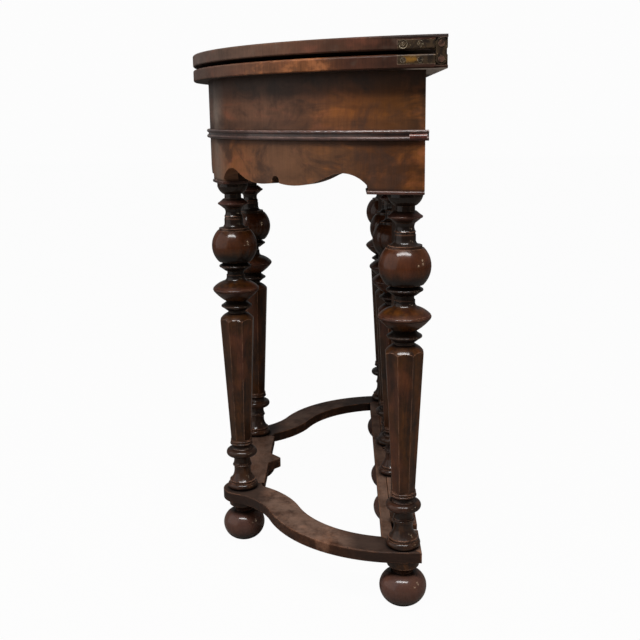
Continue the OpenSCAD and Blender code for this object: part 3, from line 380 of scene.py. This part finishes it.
def leaf_regions(tree, spot, base):
    """Streaks on a leaf's edge, greyer in front and darker by the hinge; a banded border on its faces."""
    along, out, height = parts_of(tree, spot)
    far = sums(tree, "ABSOLUTE", along)
    line = put(tree, "ShaderNodeCombineXYZ", {0: along, 1: 0.0, 2: 0.0}).outputs[0]
    fine = speckle(tree, line, 420, 4, 0.7)
    broad = speckle(tree, stretched(tree, spot, (1, 0, 1.5)), 30, 4, 0.65)
    red = speckle(tree, stretched(tree, spot, (1, 0, 1.2), (3.1, 0, 0)), 21, 3, 0.6)
    upper = ramp(tree, far, UPPER_EDGE)
    lower = ramp(tree, far, LOWER_EDGE)
    cut = blended(tree, between(tree, height, leaf_high.z, flap_low.z), lower, upper)
    cut = tinted(tree, cut, "6f3d2c", between(tree, red, 0.5, 0.66), 0.25)
    cut = tinted(tree, cut, "4c4138", between(tree, red, 0.46, 0.34), 0.4)
    shade = sums(tree, "MULTIPLY_ADD", fine, 0.8, sums(tree, "MULTIPLY_ADD", broad, 1.5, -0.2))
    cut = dimmed(tree, cut, shade)
    low_leaf = between(tree, height, flap_low.z, leaf_high.z)
    cut = tinted(tree, cut, "8a5533", band(tree, far, 0.28, 0.42, 0.02), between(tree, broad, 0.48, 0.6),
                 low_leaf, 0.6)
    off_middle = sums(tree, "ABSOLUTE", sums(tree, "SUBTRACT", height, leaf_middle))
    arris = between(tree, off_middle, leaf_half - ARRIS_W, leaf_half - ARRIS_W / 3)
    cut = tinted(tree, cut, "1b120e", arris, 0.45)
    cut = tinted(tree, cut, "120b08", between(tree, far, 0.44, 0.5),
                 between(tree, height, flap_high.z - 0.0045, flap_high.z - 0.003), 0.8)
    # Painted shade on the edges where the two leaves meet, along the gap between them.
    lip = band(tree, height, leaf_high.z - ARRIS_W / 2, flap_low.z + ARRIS_W / 2, 0.0008)
    cut = tinted(tree, cut, "1b120e", lip, 0.5)
    banding = blended(tree, between(tree, fine, 0.35, 0.65), tone("3c261a"), tone("6b452f"))
    top = blended(tree, band(tree, out, curve_r - BORDER_W, curve_r, 0.0004), base, banding)
    string_out = curve_r - BORDER_W - 0.0002
    top = tinted(tree, top, "1c110c", band(tree, out, string_out - STRING_W, string_out, 0.0003))
    return blended(tree, between(tree, out, curve_r - RIM_DEPTH, curve_r - RIM_DEPTH / 4), top, cut)


def frieze_regions(tree, spot, base):
    """Dark under the leaf, golden towards the back ends, greyed by the front legs partly as wax bloom and
    partly as a painted sheen of the window, plain inside.
    """
    along, out, height = parts_of(tree, spot)
    far = sums(tree, "ABSOLUTE", along)
    low, high = frieze_low.z, frieze_high.z
    board = ramp(tree, far, UPPER_BOARD)
    lower = ramp(tree, far, LOWER_BOARD)
    lower_end, upper_start = BEHIND_MOULDING
    board = blended(tree, between(tree, height, low + upper_start, low + lower_end), board, lower)
    waves = speckle(tree, stretched(tree, spot, (0.6, 0, 2.2), (0.7, 0, 0.2)), 24, 5, 0.62, 0.9)
    blot = speckle(tree, stretched(tree, spot, (1, 0, 0.75), (5.2, 0, 1.1)), 13, 5, 0.62, 0.4)
    upright = speckle(tree, stretched(tree, spot, (1, 0, 0.1), (0.3, 0, 0)), 170, 3, 0.6)
    murk = speckle(tree, stretched(tree, spot, (1, 0, 1.2), (1.9, 0, 4)), 15, 5, 0.62, 0.6)
    scrape = speckle(tree, stretched(tree, spot, (0.06, 0, 1), (2, 0, 0)), 520, 2, 0.5)
    scraped = speckle(tree, stretched(tree, spot, (1, 0, 2)), 18, 2, 0.5)
    board = tinted(tree, board, "7d4818", between(tree, far, 0.33, 0.42), between(tree, blot, 0.44, 0.62),
                   between(tree, waves, 0.32, 0.6), 0.7)
    board = tinted(tree, board, "6e3d2a", between(tree, waves, 0.5, 0.68), between(tree, blot, 0.42, 0.6),
                   0.5)
    board = tinted(tree, board, "2a1d17", between(tree, murk, 0.46, 0.62), 0.75)
    # Darker in a strip round the moulding.
    strip_low, strip_high = DARKENED_STRIP
    board = tinted(tree, board, "271b16", band(tree, height, low + strip_low, low + strip_high, 0.005), 0.4)
    shade = sums(tree, "MULTIPLY_ADD", waves, 1.3, sums(tree, "MULTIPLY_ADD", upright, 0.5, 0.22))
    board = dimmed(tree, board, shade)
    board = blended(tree, 0.12, board, base)
    shadow_top, shadow_end = LEAF_SHADOW
    board = tinted(tree, board, "2c2420", between(tree, height, high - shadow_end, high - shadow_top), 0.72)
    dark_to, plain_from = SAWN_EDGE
    board = tinted(tree, board, "1f1411", between(tree, height, low + plain_from, low + dark_to), 0.7)
    board = tinted(tree, board, "1b110c", between(tree, scrape, 0.66, 0.74),
                   between(tree, scraped, 0.56, 0.66), 0.7)
    return tinted(tree, board, "4d3524", between(tree, out, frieze_in + 0.004, frieze_in + 0.001))


def turned_regions(tree, spot, base):
    """Redder and lighter on the balls, the cups' rims and down the shafts; blacker by the necks and beneath
    the balls, partly as painted shade; lighter low on the feet as a painted sheen.
    """
    height = parts_of(tree, spot)[2]
    red = speckle(tree, stretched(tree, spot, (1, 1, 0.4), (2.2, 0, 0.7)), 22, 3, 0.55)
    base = tinted(tree, base, "4f2a1c", between(tree, red, 0.5, 0.66), 0.5)
    mottle = speckle(tree, stretched(tree, spot, (1, 1, 0.5), (7, 0, 0)), 60, 5, 0.7)
    base = dimmed(tree, base, sums(tree, "MULTIPLY_ADD", mottle, 2.6, -0.4))
    for low, high, soft, share, code in LEG_BANDS:
        base = tinted(tree, base, code, band(tree, height, leg_top - low, leg_top - high, soft), share)
    for low, high, soft, share, code in FOOT_BANDS:
        base = tinted(tree, base, code, band(tree, height, low, high, soft), share)
    return base


def stretcher_regions(tree, spot, base):
    """Mottled, with dark and worn blots, and dusty where it faces up."""
    blot = speckle(tree, stretched(tree, spot, (1, 1, 1), (0.4, 1.7, 0)), 21, 5, 0.65)
    base = tinted(tree, base, "241915", between(tree, blot, 0.54, 0.7), 0.6)
    base = tinted(tree, base, "7f5a46", between(tree, blot, 0.46, 0.32), 0.5)
    mottle = speckle(tree, stretched(tree, spot, (1, 1, 1), (3.3, 0, 0)), 75, 5, 0.7)
    base = dimmed(tree, base, sums(tree, "MULTIPLY_ADD", mottle, 2.6, -0.35))
    up = parts_of(tree, facing_out(tree))[2]
    patchy = between(tree, speckle(tree, spot, 26, 6, 0.7), 0.28, 0.62)
    return tinted(tree, base, "7d6456", between(tree, up, 0.6, 0.95), patchy, 0.6)


def side_regions(tree, spot, base):
    """A side stretcher: as the others, but nearly black by its legs."""
    base = stretcher_regions(tree, spot, base)
    y = parts_of(tree, own_place(tree))[1]
    by_leg = sums(tree, "MAXIMUM", between(tree, y, *BY_FRONT_LEG), between(tree, y, *BY_BACK_LEG))
    return tinted(tree, base, "251b17", by_leg, 0.8)


def plate_regions(tree, spot, colour):
    """A bright worn patch on each lower plate, and a few pale specks."""
    along, height = parts_of(tree, spot)[1:3]
    start, end = RUBBED_ALONG
    colour = tinted(tree, colour, "80591a",
                    band(tree, along, plate_low.y + start, plate_low.y + end, 0.003),
                    band(tree, height, plate_low.z + RUBBED_UP, plate_high.z - RUBBED_DOWN, 0.0025),
                    between(tree, speckle(tree, spot, 300, 3, 0.6), 0.25, 0.5), 0.9)
    specks = between(tree, speckle(tree, spot, 900, 2, 0.5), 0.7, 0.76)
    return tinted(tree, colour, "b5a37c", specks, 0.8)


STRETCHER_LOOKS = {"wear_and_highlight": 0.8, "gloss": 0.5, "specular": 0.14, "wear_highlight_tone": "8a5d42", "edge": 0.003,
                   "beside": True, "reach": 0.03}

leaf_walnut = walnut("leaf_walnut", rounded_place, "33211a", "523629", "71492f", leaf_regions,
                     wear_and_highlight=0.45, specular=0.14, gloss=0.42, wear_highlight_tone="7c675a", under="b0a59b")
frieze_walnut = walnut("frieze_walnut", rounded_place, "3d281d", "5b3f2f", "7a4c2c", frieze_regions,
                       figure=0.6, wear_and_highlight=0.6, grime_and_shade=0.55, grain=0.35, specular=0.13, gloss=0.4,
                       wear_highlight_tone="8b6a55", beside=True, reach=0.03)
turned_walnut = walnut("turned_walnut", straight_place("z"), "1c0e07", "3c2109", "532b0b", turned_regions,
                       patch_size=16, wear_and_highlight=0.85, grime_and_shade=0.98, grain=0.9, specular=0.06, gloss=0.4,
                       coat=0.44, wear_highlight_tone="8a6450", beside=True, reach=0.03, edge=0.0024)
# The moulding, the pads and the patch get pale tops: partly dusty, partly a painted highlight on their beads
# and noses.
dark_walnut = walnut("dark_walnut", rounded_place, "261510", "452a22", "5c3d32",
                     wear_and_highlight=0.4, specular=0.3, gloss=0.3, coat=0.4, wear_highlight_tone="77594d",
                     dust_and_highlight=0.5, dust_highlight_from=0.5, dust_highlight_tone="8e7871")
block_walnut = walnut("block_walnut", straight_place("z"), "241811", "38261b", "4a3424",
                      wear_and_highlight=0.3, specular=0.15, gloss=0.5)
board_walnut = walnut("board_walnut", straight_place("x"), "35251a", "4e3827", "644a33",
                      wear_and_highlight=0.3, specular=0.15, gloss=0.55)
patch_walnut = walnut("patch_walnut", rounded_place, "35160f", "552a20", "6b3a2d",
                      wear_and_highlight=0.5, gloss=0.3, coat=0.4, wear_highlight_tone="a5857c",
                      dust_and_highlight=0.45, dust_highlight_from=0.5, dust_highlight_tone="a07a70")
stretcher_walnut = walnut("stretcher_walnut", straight_place("y"), "2a180f", "3f2516", "5a3826",
                          side_regions, **STRETCHER_LOOKS)
cross_stretcher = walnut("cross_stretcher", straight_place("x"), "2a180f", "442919", "5f3c2a",
                         stretcher_regions, **STRETCHER_LOOKS)
brass = metal("tarnished_brass", "3c2c1a", "97805a", "1d130b", spot_tone=plate_regions)
copper_brass = metal("coppery_brass", "5e4234", "b08c74", "2c1d15")
pale_brass = metal("pale_brass", "6b5f4c", "b3a68d", "3f3629")
screw_steel = metal("dull_steel", "4a3a28", "c4b396", "1c140d")

FINISHES = {
    "leaf_walnut": leaf_walnut, "frieze_walnut": frieze_walnut, "turned_walnut": turned_walnut,
    "dark_walnut": block_walnut, "patch_walnut": patch_walnut, "stretcher_walnut": stretcher_walnut,
    "hinge_brass": brass, "hinge_pins": copper_brass, "screws": screw_steel,
}
OTHER_FINISHES = {
    board_walnut: ("back_rail", "cleat_right", "cleat_left", "gate_rail_right", "gate_rail_left"),
    dark_walnut: ("moulding_right", "moulding_front", "moulding_left", "pad_front_right", "pad_front_left",
                  "pad_back_right", "pad_back_left"),
    cross_stretcher: ("stretcher_front", "stretcher_back", "gate_stretcher_right", "gate_stretcher_left"),
}
finish_of = {node: FINISHES[slot] for node, slot in slot_of.items()}
for material, members in OTHER_FINISHES.items():
    finish_of.update({node: material for node in members})


def finish(piece, material):
    """Gives a piece one material all over."""
    piece.data.materials.clear()
    piece.data.materials.append(material)


def shown(mesh, name, node, material, replaced=()):
    """Makes a piece of a mesh, riding with a node's body."""
    data = bpy.data.meshes.new(name)
    mesh.to_mesh(data)
    mesh.free()
    piece = bpy.data.objects.new(name, data)
    bpy.context.scene.collection.objects.link(piece)
    for face in data.polygons:
        face.use_smooth = True
    data.set_sharp_from_angle(angle=math.radians(42))
    finish(piece, material)
    even = piece.modifiers.new("even", "WEIGHTED_NORMAL")
    even.keep_sharp = True
    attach(piece, body_of[node])
    if replaced:
        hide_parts(*replaced)


def whole(node):
    """A copy of a node's mesh with its loose triangles joined into plain faces."""
    mesh = bmesh.new()
    mesh.from_mesh(nodes[node].data)
    bmesh.ops.remove_doubles(mesh, verts=mesh.verts, dist=2e-6)
    bmesh.ops.dissolve_limit(mesh, angle_limit=math.radians(0.4), verts=mesh.verts, edges=mesh.edges)
    return mesh


# How near its axis a pivot hole's wall lies, and how much wider it is made
BORE_REACH = 0.0085
BORE_GROWTH = 1.015


def open_bores(mesh):
    """Widens the two pivot holes by a hair, so that a hole's flats clear those of its turning pin."""
    for side in ("right", "left"):
        low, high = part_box("gate_post_" + side)
        axis = (low + high) / 2
        wall = [vert for vert in mesh.verts if (vert.co.xy - axis.xy).length < BORE_REACH]
        bmesh.ops.scale(mesh, vec=(BORE_GROWTH, BORE_GROWTH, 1), space=Matrix.Translation(-axis), verts=wall)


# An edge is eased where its faces turn by more than this
SHARP = math.radians(32)
# How near a joint a point has to be to lie on it
ON_JOINT = 2e-4


def eased(node, width, segments, skip):
    """The node with its edges rounded over, in place of the node."""
    mesh = whole(node)
    if node == "stretcher_back":
        open_bores(mesh)
    edges = [edge for edge in mesh.edges
             if edge.is_manifold and edge.calc_face_angle() > SHARP
             and not (skip and all(skip(vert.co) for vert in edge.verts))]
    bmesh.ops.bevel(mesh, geom=edges, offset=width, offset_type="OFFSET", segments=segments, profile=0.5,
                    affect="EDGES", clamp_overlap=True, material=-1)
    shown(mesh, node + "_eased", node, finish_of[node], (node,))


def butt_joint(place):
    """Whether a point is on a joint between two boards of the frieze, or on the frieze's upper edge."""
    bearing = math.atan2(abs(place.x), curve_y - place.y)
    return abs(bearing - joint_bearing) < 0.0008 or place.z > frieze_high.z - 1e-4


def stretcher_joint(place):
    """Whether a point is on a joint between two stretchers."""
    return abs(abs(place.x) - front_end_x) < ON_JOINT or abs(mitre_offset(place)) < ON_JOINT


def mitre_offset(place):
    """Distance from a point to the mitre between a side stretcher and the back one."""
    start = Vector((mitre_in, back_low.y))
    run = Vector((side_high.x, back_high.y)) - start
    reach = Vector((abs(place.x), place.y)) - start
    return (run.x * reach.y - run.y * reach.x) / run.length


front_vertices = [vert.co for vert in nodes["frieze_front"].data.vertices]
joint_bearing = max(math.atan2(abs(co.x), curve_y - co.y) for co in front_vertices)
back_vertices = [vert.co for vert in nodes["stretcher_back"].data.vertices]
mitre_in = max(co.x for co in back_vertices if co.y < back_low.y + 1e-4)

for node, obj in nodes.items():
    finish(obj, finish_of[node])

# Pieces whose edges are rounded over: by how much, in how many steps, and where not
EASED = (
    (("frieze_right", "frieze_front", "frieze_left"), 0.0009, 2, butt_joint),
    (("stretcher_right", "stretcher_left", "stretcher_front", "stretcher_back"), 0.0016, 3, stretcher_joint),
    (("gate_stretcher_right", "gate_stretcher_left"), 0.0012, 2, None),
    (("pad_front_right", "pad_front_left", "pad_back_right", "pad_back_left"), 0.0012, 3, None),
    (("block_front_right", "block_front_left", "block_back_right", "block_back_left"), 0.0008, 2, None),
    (("back_rail", "cleat_right", "cleat_left", "gate_rail_right", "gate_rail_left"), 0.0008, 2, None),
    (("link_right", "link_left"), 0.0005, 2, None),
    (("plate_lower_right", "plate_lower_left", "plate_upper_right", "plate_upper_left"), 0.0003, 1, None),
)
for members, width, segments, joint in EASED:
    for node in members:
        eased(node, width, segments, joint)


# The two screws of a hinge plate: how far along it they are, and how their slots lie
SCREW_SHARES = (0.15, 0.6)
SLOT_TURNS = (0.5, 1.6)
# What the plate leaves free before the link
PLATE_GAP = 0.0003
# A head's size and how far it stands out; the small one sits in a rosette
HEAD_R = 0.0035
HEAD_T = 0.001
HEAD_RISE = 0.0001
SMALL_HEAD_R = 0.0027
SMALL_HEAD_RISE = 0.0006


def screw_heads(node, side, height, ringed=False):
    """The slotted heads of the two screws in a hinge plate; the front one of an upper plate is ringed."""
    mesh = bmesh.new()
    length = link_front_y - PLATE_GAP - plate_low.y
    for share, slot_turn in zip(SCREW_SHARES, SLOT_TURNS):
        y = plate_low.y + share * length
        lean = math.asin((curve_y - y) / curve_r)
        out = Vector((side * math.cos(lean), -math.sin(lean), 0))
        across = Vector((0, 0, 1)).cross(out)
        turn = Matrix((across, Vector((0, 0, 1)), out)).transposed().to_4x4()
        seat = Matrix.Translation(Vector((0, curve_y, height)) + out * curve_r) @ turn
        radius, rise = HEAD_R, HEAD_RISE
        if ringed and share == SCREW_SHARES[0]:
            radius, rise = SMALL_HEAD_R, SMALL_HEAD_RISE
            rosette(node, seat)
        rest = Matrix.Translation((0, 0, rise)) @ Matrix.Rotation(slot_turn, 4, "Z")
        slotted_head(mesh, seat @ rest, radius)
    shown(mesh, node + "_heads", node, screw_steel, (node,))


ROSETTE_R = 0.0056
ROSETTE_T = 0.0008
ROSETTE_RIM = 0.0008
ROSETTE_DEPTH = 0.0006


def rosette(node, seat):
    """The pale eight-sided rim round one screw of an upper plate."""
    mesh = bmesh.new()
    bmesh.ops.create_cone(mesh, cap_ends=True, segments=8, radius1=ROSETTE_R, radius2=ROSETTE_R - 0.0004,
                          depth=ROSETTE_T)
    front = [face for face in mesh.faces if face.normal.z > 0.9]
    bmesh.ops.inset_region(mesh, faces=front, thickness=ROSETTE_RIM, depth=0)
    front = [face for face in mesh.faces if face.normal.z > 0.9 and len(face.verts) == 8]
    sunk = list({vert for face in front for vert in face.verts})
    bmesh.ops.translate(mesh, verts=sunk, vec=(0, 0, -ROSETTE_DEPTH))
    bmesh.ops.transform(mesh, matrix=seat @ Matrix.Translation((0, 0, HEAD_RISE)), verts=mesh.verts)
    shown(mesh, node + "_rosette", node, pale_brass)


# The slot across a head, its length as a share of the head's
SLOT_HALF_W = 0.00035
SLOT_SHARE = 0.82
SLOT_DEPTH = 0.0006


def slotted_head(mesh, seat, radius):
    """One low round head with a slot across it."""
    head = bmesh.new()
    bmesh.ops.create_cone(head, cap_ends=True, segments=40, radius1=radius, radius2=radius * 0.93,
                          depth=HEAD_T)
    for axis, reach in ((0, SLOT_HALF_W), (1, radius * SLOT_SHARE)):
        for sign in (-1, 1):
            edge_at = Vector((0, 0, 0))
            edge_at[axis] = sign * reach
            facing = Vector((0, 0, 0))
            facing[axis] = 1
            bmesh.ops.bisect_plane(head, geom=head.verts[:] + head.edges[:] + head.faces[:],
                                   plane_co=edge_at, plane_no=facing)
    slot = []
    for face in head.faces:
        middle = face.calc_center_median()
        if face.normal.z > 0.9 and abs(middle.x) < SLOT_HALF_W and abs(middle.y) < radius * 0.8:
            slot.append(face)
    sunk = bmesh.ops.extrude_face_region(head, geom=slot)
    bmesh.ops.delete(head, geom=slot, context="FACES_ONLY")
    floor_verts = [item for item in sunk["geom"] if isinstance(item, bmesh.types.BMVert)]
    bmesh.ops.translate(head, verts=floor_verts, vec=(0, 0, -SLOT_DEPTH))
    bmesh.ops.transform(head, matrix=seat, verts=head.verts)
    part = bpy.data.meshes.new("head")
    head.to_mesh(part)
    head.free()
    mesh.from_mesh(part)
    bpy.data.meshes.remove(part)


for suffix, side in (("right", 1), ("left", -1)):
    screw_heads("screws_lower_" + suffix, side, leaf_high.z - plate_half_h)
    screw_heads("screws_upper_" + suffix, side, flap_low.z + plate_half_h, True)


def lamp(name, at, towards, width, height, power, colour=(1, 1, 1)):
    """A soft oblong lamp, its width level."""
    data = bpy.data.lights.new(name, "AREA")
    data.shape = "RECTANGLE"
    data.size = width
    data.size_y = height
    data.energy = power
    data.color = colour
    light = bpy.data.objects.new(name, data)
    bpy.context.scene.collection.objects.link(light)
    light.location = at
    light.rotation_mode = "QUATERNION"
    light.rotation_quaternion = (Vector(at) - Vector(towards)).to_track_quat("Z", "Y")


# How bright the room is, how much brighter the camera sees it, and how much of that gloss mirrors
ROOM_LIGHT = 0.145
SEEN_WHITE = 0.83
GLOSS_SHARE = 0.05
# How much of the floor is plain white to the camera
FLOOR_WHITE = 0.97


def studio():
    """A white floor and background, a long soft lamp overhead, a window to the left and warm lamps."""
    world = bpy.data.worlds.new("room")
    bpy.context.scene.world = world
    world.use_nodes = True
    tree = world.node_tree
    back = tree.nodes["Background"]
    path = put(tree, "ShaderNodeLightPath")
    seen = sums(tree, "MAXIMUM", path.outputs["Is Camera Ray"], path.outputs["Is Transmission Ray"])
    seen = sums(tree, "MAXIMUM", seen, product(tree, path.outputs["Is Glossy Ray"], GLOSS_SHARE))
    tree.links.new(sums(tree, "MULTIPLY_ADD", seen, SEEN_WHITE, ROOM_LIGHT), back.inputs["Strength"])
    back.inputs["Color"].default_value = (1, 1, 1, 1)

    floor_mesh = bmesh.new()
    bmesh.ops.create_grid(floor_mesh, x_segments=1, y_segments=1, size=12)
    data = bpy.data.meshes.new("floor")
    floor_mesh.to_mesh(data)
    floor_mesh.free()
    floor = bpy.data.objects.new("floor", data)
    bpy.context.scene.collection.objects.link(floor)
    material, tree, surface = fresh("pale_floor")
    surface.inputs["Base Color"].default_value = (0.26, 0.24, 0.22, 1)
    surface.inputs["Roughness"].default_value = 0.7
    glow = put(tree, "ShaderNodeEmission", {"Color": (1, 1, 1, 1), "Strength": 1.0})
    path = put(tree, "ShaderNodeLightPath")
    share = product(tree, path.outputs["Is Camera Ray"], FLOOR_WHITE)
    both = put(tree, "ShaderNodeMixShader", {0: share, 1: surface.outputs[0], 2: glow.outputs[0]})
    tree.links.new(both.outputs[0], tree.nodes["Material Output"].inputs["Surface"])
    finish(floor, material)

    lamp("overhead", (1.12, -0.05, 1.95), (0.2, 0.05, 0.4), 1.7, 0.34, 54)
    lamp("window", (1.0, -2.4, 1.15), (0.2, 0, 0.45), 3.8, 3.2, 34, (1, 0.96, 0.94))
    for i, at in enumerate(((0.53, 2.2, 1.12), (0.6, 2.3, 0.72), (1.5, 1.98, 0.6))):
        lamp("warm_%d" % i, at, (0.3, 0.1, 0.45), 0.2, 0.2, 2.4, (1, 0.76, 0.52))


photographer()
studio()

bpy.context.scene.view_settings.view_transform = "Standard"
